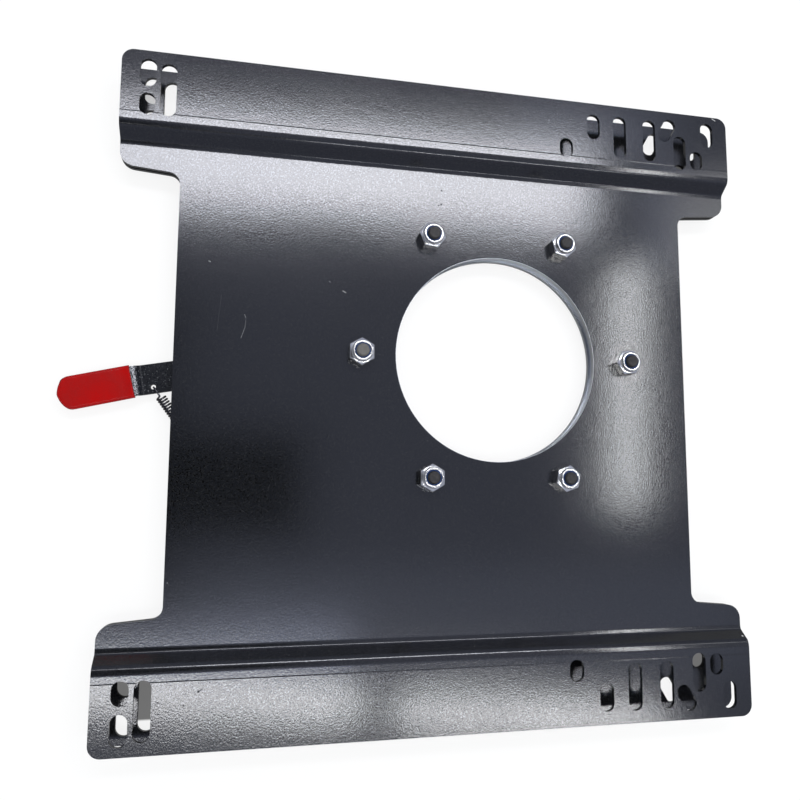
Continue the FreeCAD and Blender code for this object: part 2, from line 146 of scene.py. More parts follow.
def remap(tree, value, fromLow, fromHigh, toLow, toHigh):
    node = addNode(tree, "ShaderNodeMapRange", {"Value": value, "From Min": fromLow,
                                                "From Max": fromHigh, "To Min": toLow,
                                                "To Max": toHigh})
    return node.outputs["Result"]


def mixColours(tree, factor, first, second):
    node = addNode(tree, "ShaderNodeMix", {0: factor, 6: first, 7: second}, data_type="RGBA")
    return node.outputs[2]


def bumpFrom(tree, height, distance, normal=None):
    inputs = {"Height": height, "Distance": distance, "Strength": 1.0}
    if normal is not None:
        inputs["Normal"] = normal
    return addNode(tree, "ShaderNodeBump", inputs).outputs["Normal"]


# Distance from a straight mark, given by its two ends, to each shaded point.
def markDistance(tree, place, start, end):
    span = end - start
    offset = vectorNode(tree, "SUBTRACT", place, start)
    along = vectorNode(tree, "DOT_PRODUCT", offset, span)
    share = mathNode(tree, "DIVIDE", along, span.length_squared, clamp=True)
    nearest = vectorNode(tree, "MULTIPLY", span, share)
    return vectorNode(tree, "LENGTH", vectorNode(tree, "SUBTRACT", offset, nearest))


# Round specks in those cells of a texture whose random channel is above the choice.
def cellSpecks(tree, place, scale, channel, choice, reach, strength):
    cells = addNode(tree, "ShaderNodeTexVoronoi", {"Vector": place, "Scale": scale, "Randomness": 1.0})
    chances = addNode(tree, "ShaderNodeSeparateColor", {"Color": cells.outputs["Color"]})
    chosen = mathNode(tree, "GREATER_THAN", chances.outputs[channel], choice)
    near = remap(tree, cells.outputs["Distance"], 0.0, reach, strength, 0.0)
    return mathNode(tree, "MULTIPLY", near, chosen)


# mesh helpers

def meshPiece(name, points, faces, material):
    mesh = bpy.data.meshes.new(name)
    mesh.from_pydata(points, [], faces)
    mesh.materials.append(material)
    mesh.update()
    work = bmesh.new()
    work.from_mesh(mesh)
    bmesh.ops.recalc_face_normals(work, faces=work.faces)
    work.to_mesh(mesh)
    work.free()
    mesh.polygons.foreach_set("use_smooth", [True] * len(mesh.polygons))
    piece = bpy.data.objects.new(name, mesh)
    bpy.context.scene.collection.objects.link(piece)
    return piece


# A level ring of points round a centre. reachAt gives its radius at each turn.
def levelRing(centre, height, count, reachAt):
    ring = []
    for j in range(count):
        turn = 2 * math.pi * j / count
        reach = reachAt(turn)
        ring.append((centre.x + reach * math.cos(turn), centre.y + reach * math.sin(turn), height))
    return ring


# Faces between rings of equal point count. A loop joins the last ring to the first, and without
# it both ends are capped.
def skinRings(rings, loop=False):
    count = len(rings[0])
    points = [point for ring in rings for point in ring]
    faces = []
    bands = len(rings) if loop else len(rings) - 1
    for i in range(bands):
        here = i * count
        there = ((i + 1) % len(rings)) * count
        for j in range(count):
            k = (j + 1) % count
            faces.append((here + j, here + k, there + k, there + j))
    if not loop:
        faces.append(tuple(range(count)))
        faces.append(tuple(range((len(rings) - 1) * count, len(rings) * count)))
    return points, faces


# A tube of round wire along a list of points, capped at both ends.
def wireTube(path, radius, sides):
    tangents = []
    for i in range(len(path)):
        ahead = path[min(i + 1, len(path) - 1)]
        behind = path[max(i - 1, 0)]
        tangents.append((ahead - behind).normalized())
    side = tangents[0].orthogonal().normalized()
    rings = []
    for point, tangent in zip(path, tangents):
        side = (side - tangent * side.dot(tangent)).normalized()
        other = tangent.cross(side)
        ring = []
        for j in range(sides):
            turn = 2 * math.pi * j / sides
            ring.append(point + (side * math.cos(turn) + other * math.sin(turn)) * radius)
        rings.append(ring)
    return skinRings(rings)


edgeShape = {
    "segments": 2,
    "seam": 1e-5,          # points nearer than this are one point
    "flatAngle": 0.4,      # faces that meet at less than this are one flat
    "edgeAngle": 38,       # and those that meet at more than this get a rounded edge
}


# Rounds a CAD part's edges and smooths its curved faces without touching its mesh.
def softenEdges(node, width, shape):
    part = nodes[node]
    part.data.polygons.foreach_set("use_smooth", [True] * len(part.data.polygons))
    weld = part.modifiers.new("joinSeams", "WELD")
    weld.merge_threshold = shape["seam"]
    flatten = part.modifiers.new("mergeFlats", "DECIMATE")
    flatten.decimate_type = "DISSOLVE"
    flatten.angle_limit = math.radians(shape["flatAngle"])
    bevel = part.modifiers.new("roundEdges", "BEVEL")
    bevel.width = width
    bevel.segments = shape["segments"]
    bevel.limit_method = "ANGLE"
    bevel.angle_limit = math.radians(shape["edgeAngle"])
    bevel.use_clamp_overlap = True
    bevel.miter_outer = "MITER_ARC"
    weighted = part.modifiers.new("flatShading", "WEIGHTED_NORMAL")
    weighted.keep_sharp = False


def dress(node, material):
    part = nodes[node]
    part.data.materials.clear()
    part.data.materials.append(material)


# powder coat on the plates and rings

coatLook = {
    "colour": (0.0062, 0.0070, 0.0092, 1),
    "roughness": (0.115, 0.14),
    "patches": (9, 3.0, 0.6),   # where the gloss drifts over the sheet
    "specular": 0.8,
    "peel": (980, 1.0, 0.5),
    "peelDepth": mm(0.033),
    "grain": (1500, 1.0, 0.5),
    "grainDepth": mm(0.003),
    "wave": (110, 1.0, 0.5),
    "waveDepth": mm(0.02),
    "pits": {"scale": 95, "channel": 0, "choice": 0.93, "reach": 0.055, "strength": 1.0},
    "pitDepth": mm(0.06),
    "pitRoughness": 0.3,
    "dust": {"scale": 161.5, "channel": 1, "choice": 0.975, "reach": 0.06, "strength": 0.8},
    "dustColour": (0.10, 0.10, 0.11, 1),
    "creaseAt": mm(185.0),      # the press left a line on the flanges here
    "creaseHalfWidth": mm(0.35),
    "creaseDepth": mm(0.05),
    "dipEnd": mm(180.6),        # between the line and the bend the sheet already dips a little
    "dipDepth": mm(0.03),
    "flecks": (900, 1.0, 0.5),  # faint flecks that shine a little more than the rest
    "fleckSpan": (0.50, 0.58),
    "fleckTone": (0.078, 0.079, 0.081, 1),
    "boreTone": (0.52, 0.54, 0.56, 1),
    "boreRoughness": 0.18,
    "markColour": (0.50, 0.50, 0.49, 1),
    "markCore": 0.4,            # the share of a mark's half width that is not faded
    "spotCore": 0.5,
    "spotRoughness": 0.6,
}
coatMarks = [    # start and end in the seat plate's place, half width, how bright, in millimetres
    ((-65.1, -157.3, 18.0), (-40.4, -159.4, 18.0), 0.20, 0.05),
    ((-52.3, -141.7, 18.0), (-49.9, -140.7, 18.0), 0.32, 0.32),
    ((-49.9, -140.7, 18.0), (-43.7, -141.1, 18.0), 0.32, 0.16),
    ((-43.7, -141.1, 18.0), (-36.0, -143.6, 18.0), 0.28, 0.30),
    ((-111.9, -127.8, 18.0), (-104.5, -129.4, 18.0), 0.20, 0.06),
    ((-88.1, -166.2, 18.0), (-87.8, -165.4, 18.0), 0.50, 0.40),
    ((-72.7, -75.0, 18.0), (-71.6, -73.0, 18.0), 0.50, 0.50),
    ((-79.0, -84.6, 18.0), (-78.4, -83.9, 18.0), 0.45, 0.30),
    ((173.0, 224.2, 23.6), (175.2, 224.9, 21.6), 1.10, 1.0),
    ((-227.6, 214.8, 28.0), (-226.2, 217.4, 28.0), 0.55, 0.8),
]
coatSpots = [    # small dark spots in the seat plate's skin: place and radius, in millimetres
    ((-152.5, -3.7, 18.0), 0.75),
    ((-141.9, -3.9, 18.0), 0.80),
    ((-140.7, -6.0, 18.0), 0.60),
    ((-136.0, -167.8, 18.0), 0.60),
    ((191.7, -162.7, 28.0), 0.85),
    ((190.8, -161.2, 28.0), 0.60),
    ((197.3, -186.8, 28.0), 0.55),
    ((199.7, -171.4, 28.0), 0.60),
]


# Black powder coat. Nearer the swivel's axis than the bore radius the steel is bare.
def makePowderCoat(name, look, bore, marks=(), spots=()):
    material, tree, shader = startMaterial(name)
    place = objectPlace(tree)
    peel = noiseValue(tree, place, *look["peel"])
    grain = noiseValue(tree, place, *look["grain"])
    wave = noiseValue(tree, place, *look["wave"])
    patches = noiseValue(tree, place, *look["patches"])
    pits = cellSpecks(tree, place, **look["pits"])
    dust = cellSpecks(tree, place, **look["dust"])
    flecks = noiseValue(tree, place, *look["flecks"])
    fleck = remap(tree, flecks, *look["fleckSpan"], 0.0, 1.0)
    scratch = 0.0
    for start, end, halfWidth, bright in marks:
        away = markDistance(tree, place, Vector(start) / 1000, Vector(end) / 1000)
        line = remap(tree, away, mm(halfWidth * look["markCore"]), mm(halfWidth), bright, 0.0)
        scratch = mathNode(tree, "MAXIMUM", scratch, line)
    spot = 0.0
    for at, radius in spots:
        away = vectorNode(tree, "DISTANCE", place, Vector(at) / 1000)
        disc = remap(tree, away, mm(radius * look["spotCore"]), mm(radius), 1.0, 0.0)
        spot = mathNode(tree, "MAXIMUM", spot, disc)
    offAxis = vectorNode(tree, "SUBTRACT", place, swivelAxis)
    level = vectorNode(tree, "MULTIPLY", offAxis, (1, 1, 0))
    brightMetal = mathNode(tree, "LESS_THAN", vectorNode(tree, "LENGTH", level), bore)

    colour = mixColours(tree, fleck, look["colour"], look["fleckTone"])
    colour = mixColours(tree, dust, colour, look["dustColour"])
    colour = mixColours(tree, scratch, colour, look["markColour"])
    colour = mixColours(tree, brightMetal, colour, look["boreTone"])

    spoiled = mathNode(tree, "ADD", mathNode(tree, "ADD", dust, scratch), spot)
    cleanOrUnshaded = mathNode(tree, "SUBTRACT", 1.0, spoiled, clamp=True)
    metal = mathNode(tree, "MULTIPLY", mathNode(tree, "MAXIMUM", fleck, brightMetal), cleanOrUnshaded)

    rough = remap(tree, patches, *noiseSpan, *look["roughness"])
    for where, more in ((pits, "pitRoughness"), (brightMetal, "boreRoughness"), (spot, "spotRoughness")):
        rough = mathNode(tree, "ADD", rough, mathNode(tree, "MULTIPLY", where, look[more]), clamp=True)

    across = mathNode(tree, "ABSOLUTE", partsOf(tree, place)[0])
    dip = remap(tree, across, look["dipEnd"], look["creaseAt"], 0.0, 1.0)
    offLine = mathNode(tree, "ABSOLUTE", mathNode(tree, "SUBTRACT", across, look["creaseAt"]))
    crease = remap(tree, offLine, 0.0, look["creaseHalfWidth"], -1.0, 0.0)
    sunk = mathNode(tree, "MULTIPLY", pits, -1.0)
    normal = None
    for height, depth in ((dip, "dipDepth"), (crease, "creaseDepth"), (wave, "waveDepth"),
                          (sunk, "pitDepth"), (peel, "peelDepth"), (grain, "grainDepth")):
        normal = bumpFrom(tree, height, look[depth], normal)

    setInputs(tree, shader, {"Base Color": colour, "Metallic": metal, "Roughness": rough,
                             "Specular IOR Level": look["specular"], "Normal": normal})
    return material


# zinc plated steel

zincLook = {
    "colour": (0.90, 0.89, 0.84, 1),
    "tint": (0.72, 0.71, 0.66, 1),
    "tintSpan": (0.35, 0.7),
    "roughness": (0.12, 0.26),
    "cloud": (420, 3.0, 0.6),
    "grain": (2600, 2.0, 0.5),
    "grainDepth": mm(0.012),
}
wireLook = dict(zincLook, colour=(0.15, 0.15, 0.155, 1), tint=(0.06, 0.06, 0.065, 1),
                roughness=(0.18, 0.34))


def makeZinc(name, look):
    material, tree, shader = startMaterial(name)
    place = objectPlace(tree)
    cloud = noiseValue(tree, place, *look["cloud"])
    grain = noiseValue(tree, place, *look["grain"])
    dull = remap(tree, cloud, *look["tintSpan"], 0.0, 1.0)
    setInputs(tree, shader, {"Base Color": mixColours(tree, dull, look["colour"], look["tint"]),
                             "Metallic": 1.0,
                             "Roughness": remap(tree, cloud, *noiseSpan, *look["roughness"]),
                             "Normal": bumpFrom(tree, grain, look["grainDepth"])})
    return material


# blackened bolts

boltLook = {
    "colour": (0.012, 0.011, 0.011, 1),
    "worn": (0.060, 0.054, 0.050, 1),
    "wornSpan": (0.45, 0.75),
    "roughness": (0.40, 0.60),
    "specular": 0.4,
    "cloud": (700, 3.0, 0.65),
    "cloudDepth": mm(0.05),
}
rubbedLook = dict(boltLook, colour=(0.10, 0.095, 0.090, 1), worn=(0.16, 0.15, 0.14, 1))


def makeBlackOxide(name, look):
    material, tree, shader = startMaterial(name)
    cloud = noiseValue(tree, objectPlace(tree), *look["cloud"])
    rubbed = remap(tree, cloud, *look["wornSpan"], 0.0, 1.0)
    setInputs(tree, shader, {"Base Color": mixColours(tree, rubbed, look["colour"], look["worn"]),
                             "Roughness": remap(tree, cloud, *noiseSpan, *look["roughness"]),
                             "Specular IOR Level": look["specular"],
                             "Normal": bumpFrom(tree, cloud, look["cloudDepth"])})
    return material


# the nuts' blue inserts and the pale slide rings

blueLook = {
    "colour": (0.016, 0.062, 0.230, 1),
    "shade": (0.0128, 0.0496, 0.184, 1),
    "roughness": (0.25, 0.38),
    "grain": (900, 2.0, 0.5),
    "grainDepth": mm(0.01),
}
paleLook = {
    "colour": (0.72, 0.70, 0.64, 1),
    "shade": (0.576, 0.56, 0.512, 1),
    "roughness": (0.45, 0.58),
    "grain": (500, 2.0, 0.5),
    "grainDepth": mm(0.02),
}


def makeNylon(name, look):
    material, tree, shader = startMaterial(name)
    grain = noiseValue(tree, objectPlace(tree), *look["grain"])
    setInputs(tree, shader, {"Base Color": mixColours(tree, grain, look["colour"], look["shade"]),
                             "Roughness": remap(tree, grain, *noiseSpan, *look["roughness"]),
                             "Normal": bumpFrom(tree, grain, look["grainDepth"])})
    return material


# the dipped grip's red vinyl

gripLook = {
    "colour": (0.388, 0.0018, 0.0016, 1),
    "shade": (0.325, 0.0014, 0.0012, 1),
    "shadeSpan": (0.35, 0.65),
    "roughness": (0.20, 0.30),
    "specular": 0.22,
    "glow": 0.06,                # how much light passes into the vinyl, and how far, by colour
    "glowReach": (mm(2.0), mm(0.4), mm(0.3)),
    "cloud": (60, 3.0, 0.6),
    "cloudDepth": mm(0.25),
    "grain": (1100, 2.0, 0.5),
    "grainDepth": mm(0.02),
}


def makeRedVinyl(name, look):
    material, tree, shader = startMaterial(name)
    place = objectPlace(tree)
    cloud = noiseValue(tree, place, *look["cloud"])
    grain = noiseValue(tree, place, *look["grain"])
    shaded = remap(tree, cloud, *look["shadeSpan"], 0.0, 1.0)
    normal = bumpFrom(tree, cloud, look["cloudDepth"])
    normal = bumpFrom(tree, grain, look["grainDepth"], normal)
    setInputs(tree, shader, {"Base Color": mixColours(tree, shaded, look["colour"], look["shade"]),
                             "Roughness": remap(tree, cloud, *noiseSpan, *look["roughness"]),
                             "Specular IOR Level": look["specular"],
                             "Subsurface Weight": look["glow"],
                             "Subsurface Radius": look["glowReach"],
                             "Normal": normal})
    return material


# The lever's coat is scratched to sparse bright specks, and where it is cranked beside the grip a band of
# denser bright specks is painted highlight.
leverLook = {
    "colour": (0.006, 0.007, 0.010, 1),
    "brightMetal": (0.42, 0.43, 0.44, 1),
    "speckMetal": 0.6,
    "roughness": (0.24, 0.36),
    "specular": 0.27,
    "highlightBandFrom": mm(98.9),        # along the lever from its rivet
    "highlightBandTo": mm(104.5),
    "highlightBandCore": 0.5,
    "specks": (1300, 3.0, 0.7),
    "speckChoice": (0.66, 0.50),     # bright specks show above these, away from the painted highlight band and in it
    "peel": (900, 2.5, 0.55),
    "peelDepth": mm(0.06),
}


def makeLeverCoat(name, look):
    material, tree, shader = startMaterial(name)
    place = objectPlace(tree)
    along = vectorNode(tree, "DOT_PRODUCT", vectorNode(tree, "SUBTRACT", place, leverAxis), leverAlong)
    # The band of denser bright specks on the crank is painted highlight; the sparse specks elsewhere are
    # scratches.
    middle = (look["highlightBandFrom"] + look["highlightBandTo"]) / 2
    half = (look["highlightBandTo"] - look["highlightBandFrom"]) / 2
    away = mathNode(tree, "ABSOLUTE", mathNode(tree, "SUBTRACT", along, middle))
    highlightBand = remap(tree, away, half * look["highlightBandCore"], half, 1.0, 0.0)
    specks = noiseValue(tree, place, *look["specks"])
    brightMetal = mathNode(tree, "GREATER_THAN", specks, remap(tree, highlightBand, 0.0, 1.0, *look["speckChoice"]))
    peel = noiseValue(tree, place, *look["peel"])
    setInputs(tree, shader, {"Base Color": mixColours(tree, brightMetal, look["colour"], look["brightMetal"]),
                             "Metallic": mathNode(tree, "MULTIPLY", brightMetal, look["speckMetal"]),
                             "Roughness": remap(tree, peel, *noiseSpan, *look["roughness"]),
                             "Specular IOR Level": look["specular"],
                             "Normal": bumpFrom(tree, peel, look["peelDepth"])})
    return material


powderCoat = makePowderCoat("powderCoat", coatLook, mm(75.15), coatMarks, coatSpots)
ringCoat = makePowderCoat("ringCoat", coatLook, mm(77.5))
plainCoat = makePowderCoat("plainCoat", coatLook, 0.0)
zinc = makeZinc("zinc", zincLook)
springWire = makeZinc("springWire", wireLook)
blackOxide = makeBlackOxide("blackOxide", boltLook)
rubbedOxide = makeBlackOxide("rubbedOxide", rubbedLook)
blueNylon = makeNylon("blueNylon", blueLook)
naturalNylon = makeNylon("naturalNylon", paleLook)
redVinyl = makeRedVinyl("redVinyl", gripLook)
leverCoat = makeLeverCoat("leverCoat", leverLook)
print("materials made")

# The plates, rings, pins and lever keep their CAD shapes. Each has its finish and edge width.

cadFinishes = {
    "top_plate": (powderCoat, mm(0.3)),
    "bottom_plate": (plainCoat, mm(0.3)),
    "spacer_ring": (ringCoat, mm(0.3)),
    "clamp_ring": (ringCoat, mm(0.35)),
    "upper_slide_ring": (naturalNylon, mm(0.2)),
    "lower_slide_ring": (naturalNylon, mm(0.2)),
    "release_lever": (leverCoat, mm(0.3)),
    "lever_pivot": (zinc, mm(0.2)),
    "pivot_washer": (zinc, mm(0.2)),
    "lever_stop": (zinc, mm(0.2)),
    "spring_post": (zinc, mm(0.15)),
}
for node, (finish, edge) in cadFinishes.items():
    dress(node, finish)
    softenEdges(node, edge, edgeShape)
print("plates, rings, pins and lever dressed")

# lock nuts

nutShape = {
    "flats": mm(17),
    "hexHeight": mm(9),
    "chamferRise": mm(1.001),
    "chamferReach": mm(0.25),  # the chamfers end this far past the corners
    "chamferSteps": 6,
    "wallReach": mm(0.3),      # and between them the round limit is this far past the corners
    "faceInset": mm(0.25),     # the bearing face is smaller than the flats by this
    "faceLand": (mm(0.4), mm(0.1)),    # its rings, in from its edge
    "faceLip": mm(0.03),
    "edgeSoftness": mm(0.10),
    "cornerSoftness": mm(0.06),
    "chamferTop": mm(7.95),    # the upper chamfer narrows to this radius
    "collarFoot": (            # rise above the hexagon, and radius
        (mm(0.05), mm(7.6)),
        (mm(0.25), mm(7.3)),
        (mm(0.7), mm(7.18)),
    ),
    "collarRadius": mm(7.1),
    "collarTop": mm(1.3),      # from the nut's top down to where the rim's curve starts
    "rimRound": mm(0.5),
    "rimInner": mm(5.35),
    "rimSteps": 8,
    "rimLip": mm(0.05),        # the rim's inside stands this far into the seat
    "rimLipEnds": (mm(0.25), mm(0.4)),    # down from the insert's top
    "seatRadius": mm(5.9),
    "seatTop": mm(0.7),        # from the nut's top down to the insert
    "seatBottom": mm(3.3),
    "boreRadius": mm(5.05),
    "boreChamfer": (mm(0.45), mm(0.5)),    # outwards and upwards
    "segments": 120,
}


# The lesser of two lengths, eased where they are nearly equal.
def softLeast(first, second, softness):
    least = min(first, second)
    return least - softness * math.log(math.exp((least - first) / softness)
                                       + math.exp((least - second) / softness))


# Radius of a hexagon with a corner in the given direction, its corners eased by softness.
def hexRadius(flats, turn, corner, softness):
    reach = None
    for i in range(6):
        lean = math.cos(turn - math.radians(corner + 30 + 60 * i))
        if lean > 0.2:       # this flat faces the turn
            flat = flats / 2 / lean
            reach = flat if reach is None else softLeast(reach, flat, softness)
    return reach


# The direction of the corner that a hexagonal CAD node points furthest.
def cornerOf(node):
    centre = middleOf(node)
    furthest = max(nodes[node].data.vertices, key=lambda v: (v.co - centre).xy.length)
    return math.degrees(math.atan2(furthest.co.y - centre.y, furthest.co.x - centre.x))


# Rows of the nut's outline as height, greatest radius and whether the hexagon also cuts it,
# up its outside, over the crimped rim and down the inside.
def nutRows(shape, height):
    corner = shape["flats"] / math.sqrt(3)
    chamfer = corner + shape["chamferReach"]
    face = shape["flats"] / 2 - shape["faceInset"]
    rise = shape["chamferRise"]
    hexTop = shape["hexHeight"]
    steps = shape["chamferSteps"]
    rows = [(0.0, face - inset, False) for inset in shape["faceLand"]]
    for i in range(steps + 1):
        share = i / steps
        rows.append((rise * share + shape["faceLip"], face + (chamfer - face) * share, True))
    rows.append((hexTop / 2, corner + shape["wallReach"], True))
    for i in range(steps + 1):
        share = i / steps
        limit = chamfer + (shape["chamferTop"] - chamfer) * share
        rows.append((hexTop - rise * (1 - share), limit, True))
    rows += [(hexTop + up, radius, False) for up, radius in shape["collarFoot"]]
    rows.append((height - shape["collarTop"], shape["collarRadius"], False))
    roundness = shape["rimRound"]
    across = (shape["collarRadius"] - shape["rimInner"]) / 2
    crest = shape["rimInner"] + across
    for i in range(shape["rimSteps"] + 1):
        turn = math.pi * i / shape["rimSteps"]
        rows.append((height - roundness + roundness * math.sin(turn), crest + across * math.cos(turn),
                     False))
    seat, bore = shape["seatRadius"], shape["boreRadius"]
    seatTop, seatBottom = height - shape["seatTop"], height - shape["seatBottom"]
    lipEnd, seatFrom = shape["rimLipEnds"]
    wider, deeper = shape["boreChamfer"]
    inside = [(seatTop - lipEnd, seat - shape["rimLip"]),
              (seatTop - seatFrom, seat),
              (seatBottom, seat),
              (seatBottom, bore),
              (deeper, bore),
              (0.0, bore + wider)]
    rows += [(up, radius, False) for up, radius in inside]
    return rows


def buildLockNut(node, shape):
    low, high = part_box(node)
    centre = middleOf(node)
    corner = cornerOf(node)

    def hexReach(turn, limit):
        edge = hexRadius(shape["flats"], turn, corner, shape["cornerSoftness"])
        return softLeast(limit, edge, shape["edgeSoftness"])

    rings = []
    for height, limit, faceted in nutRows(shape, high.z - low.z):
        rings.append(levelRing(centre, low.z + height, shape["segments"],
                               lambda turn: hexReach(turn, limit) if faceted else limit))
    points, faces = skinRings(rings, loop=True)
    nut = meshPiece("nut_" + node[-1], points, faces, zinc)
    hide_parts(node)
    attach(nut, "seat_side")


insertShape = {"outer": mm(5.88), "inner": mm(5.06), "neck": mm(4.62), "lip": mm(0.28), "segments": 72}


def buildNutInsert(node, shape):
    low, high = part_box(node)
    centre = middleOf(node)
    outer, inner, lip = shape["outer"], shape["inner"], shape["lip"]
    neck = shape["neck"]
    rows = [(low.z, inner),
            (low.z, outer),
            (high.z - lip, outer),
            (high.z - lip * 0.3, outer - lip * 0.25),
            (high.z, outer - lip),
            (high.z, neck + lip),
            (high.z - lip * 0.3, neck + lip * 0.25),
            (high.z - lip, neck),
            (high.z - lip * 2, neck),
            (high.z - lip * 4, inner)]
    rings = [levelRing(centre, height, shape["segments"], lambda turn: radius) for height, radius in rows]
    points, faces = skinRings(rings, loop=True)
    ringPiece = meshPiece("insert_" + node[-1], points, faces, blueNylon)
    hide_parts(node)
    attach(ringPiece, "seat_side")


# bolts: socket, countersunk head, shank and the threaded end above the nut

boltShape = {
    "radius": mm(5.0),
    "endRadius": mm(3.7),
    "endSlope": 0.9,           # the end's chamfer widens by this for each unit down
    "endBreak": (mm(0.1), mm(0.05)),    # inwards and downwards
    "neckRadius": mm(4.55),    # the last turns of thread, inside and above the insert
    "neckLength": mm(3.4),
    "headRadius": mm(10.0),
    "headRim": mm(0.4),
    "headBreak": (mm(0.15), mm(0.12)),    # inwards and upwards
    "coneEase": (mm(0.2), mm(0.3)),    # before and after the cone meets the shank
    "socketAcross": mm(6.0),
    "socketDepth": mm(3.5),
    "socketMouth": mm(0.25),
    "socketCentre": mm(0.6),
    "socketSoftness": mm(0.05),
    "threadPitch": mm(1.5),
    "threadDepth": mm(0.72),
    "threadSharpness": 2.3,
    "threadLength": mm(13.0),
    "threadRunIn": mm(0.4),
    "threadStep": mm(0.25),
    "dish": mm(0.18),
    "dishEdge": mm(0.7),
    "dishCentre": mm(0.5),
    "segments": 64,
}


# Rows of the bolt's outline as height, greatest radius and kind, from its socket's floor over the
# head and up the shank to its dished end.
def boltRows(shape, bottom, top):
    radius, head, end = shape["radius"], shape["headRadius"], shape["endRadius"]
    floor = bottom + shape["socketDepth"]
    socket = shape["socketAcross"] / math.sqrt(3)
    mouth = shape["socketMouth"]
    narrower, higher = shape["headBreak"]
    rim = bottom + shape["headRim"]
    before, after = shape["coneEase"]
    threadFrom = top - shape["threadLength"]
    rows = [(floor, shape["socketCentre"], "socket"),
            (floor, socket, "socket"),
            (bottom + mouth, socket, "socket"),
            (bottom, socket + mouth, "plain"),
            (bottom, head - narrower, "plain"),
            (bottom + higher, head, "plain"),
            (rim, head, "plain"),
            (rim + head - radius - before, radius + before, "plain"),
            (rim + head - radius + after, radius, "plain"),
            (threadFrom - shape["threadRunIn"], radius, "plain")]
    inner, lower = shape["endBreak"]
    steps = int(shape["threadLength"] / shape["threadStep"])
    for i in range(steps + 1):
        height = threadFrom + (top - lower - threadFrom) * i / steps
        limit = min(radius, end + (top - height) * shape["endSlope"])
        if top - height < shape["neckLength"]:
            limit = min(limit, shape["neckRadius"])
        rows.append((height, limit, "thread"))
    rows.append((top, end - inner, "plain"))
    rows.append((top - shape["dish"], end - shape["dishEdge"], "plain"))
    rows.append((top - shape["dish"], shape["dishCentre"], "plain"))
    return rows


def buildRingBolt(node, shape):
    low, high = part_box(node)
    centre = middleOf(node)
    threadFrom = high.z - shape["threadLength"]

    def boltReach(turn, height, limit, kind):
        if kind == "socket":
            return min(limit, hexRadius(shape["socketAcross"], turn, 90, shape["socketSoftness"]))
        if kind == "thread":
            phase = (height / shape["threadPitch"] - turn / (2 * math.pi)) % 1.0
            runIn = min(1.0, (height - threadFrom) / shape["threadPitch"])
            groove = max(0.0, 1 - abs(phase - 0.5) * shape["threadSharpness"])
            return min(limit, shape["radius"] - shape["threadDepth"] * groove * runIn)
        return limit

    rings = []
    for height, limit, kind in boltRows(shape, low.z, high.z):
        rings.append(levelRing(centre, height, shape["segments"],
                               lambda turn: boltReach(turn, height, limit, kind)))
    points, faces = skinRings(rings)
    finish = rubbedOxide if node.endswith("4") else blackOxide
    bolt = meshPiece("bolt_" + node[-1], points, faces, finish)
    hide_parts(node)
    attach(bolt, "seat_side")


for i in range(1, 7):
    buildLockNut("lock_nut_" + str(i), nutShape)
    buildNutInsert("nut_insert_" + str(i), insertShape)
    buildRingBolt("ring_bolt_" + str(i), boltShape)
print("nuts, inserts and bolts built")

# the dipped grip, drawn along and across the lever

gripShape = {
    "start": mm(102.9),
    "tip": mm(149.7),
    "tipGap": mm(0.01),        # the last ring stands this far short of the tip
    "noseFrom": mm(140.7),
    "noseFullness": 2.4,
    "nosePoint": 0.7,
    "noseLead": mm(4.0),       # the nose's rounded edge starts this far before it
    "halfWidth": mm(11.15),
    "leastHalf": mm(0.05),
    "thickness": mm(5.0),
    "edgeRound": mm(1.7),
    "rimLength": mm(0.9),
    "rimSwell": mm(0.45),      # a soft bead behind the open end
    "rimCrest": mm(0.7),
    "rimSpread": mm(0.7),
    "lipShare": 0.75,          # the open end's lip is this share of the full thickness
    "lipLength": mm(0.5),
    "tongueHalfWidth": mm(10.04),
    "tongueThickness": mm(3.06),
    "tongueTip": mm(1.1),      # the hollow for the tongue ends this far short of the tip
    "tongueSteps": (0.0, mm(3.0), mm(5.5)),
    "wall": mm(0.8),           # the hollow stays this far inside the nose, measured a little ahead
    "wallLead": mm(1.0),
    "tongueTurn": 2.1,
    "sleeveTurn": 2.85,        # the sleeve sits a little askew on the lever's tongue
    "turnedFrom": mm(98.0),
    "rimRings": 6,
    "straightRings": 14,
    "noseRings": 22,
    "borderPoints": 80,
    "across": 28,
}


# A point of the grip in the scene, from its place along and across the lever.
def gripPoint(along, across, height, shape, turn):
    elbow = leverAxis + leverAlong * shape["turnedFrom"]
    turned = Matrix.Rotation(math.radians(shape[turn]), 3, "Z")
    offset = leverAlong * (along - shape["turnedFrom"]) + leverAside * across
    point = elbow + turned @ offset
    return Vector((point.x, point.y, height))


# One ring round the grip from a row of points across it, each with its rise from the middle.
def gripRing(along, row, middle, shape, turn):
    ring = [gripPoint(along, across, middle + rise, shape, turn) for across, rise in row]
    ring += [gripPoint(along, across, middle - rise, shape, turn) for across, rise in reversed(row[1:-1])]
    return ring


# The grip's half width at a distance along the lever: straight, then a rounded nose.
def gripHalfWidth(along, shape):
    share = (along - shape["noseFrom"]) / (shape["tip"] - shape["noseFrom"])
    share = min(1.0, max(0.0, share))
    narrowed = (1 - share ** shape["noseFullness"]) ** shape["nosePoint"]
    return max(shape["leastHalf"], shape["halfWidth"] * narrowed)


# Distances along the lever at which the sleeve has a ring, closer at its rim and its nose.
def gripStations(shape):
    straight = shape["noseFrom"]
    nose = shape["tip"] - straight
    rimRings, straightRings, noseRings = shape["rimRings"], shape["straightRings"], shape["noseRings"]
    stations = [shape["start"] + shape["rimLength"] * i / rimRings for i in range(rimRings + 1)]
    rimEnd = stations[-1]
    stations += [rimEnd + (straight - rimEnd) * i / straightRings for i in range(1, straightRings + 1)]
    stations += [straight + nose * math.sin(math.pi / 2 * i / noseRings) for i in range(1, noseRings)]
    stations.append(shape["tip"] - shape["tipGap"])
    return stations


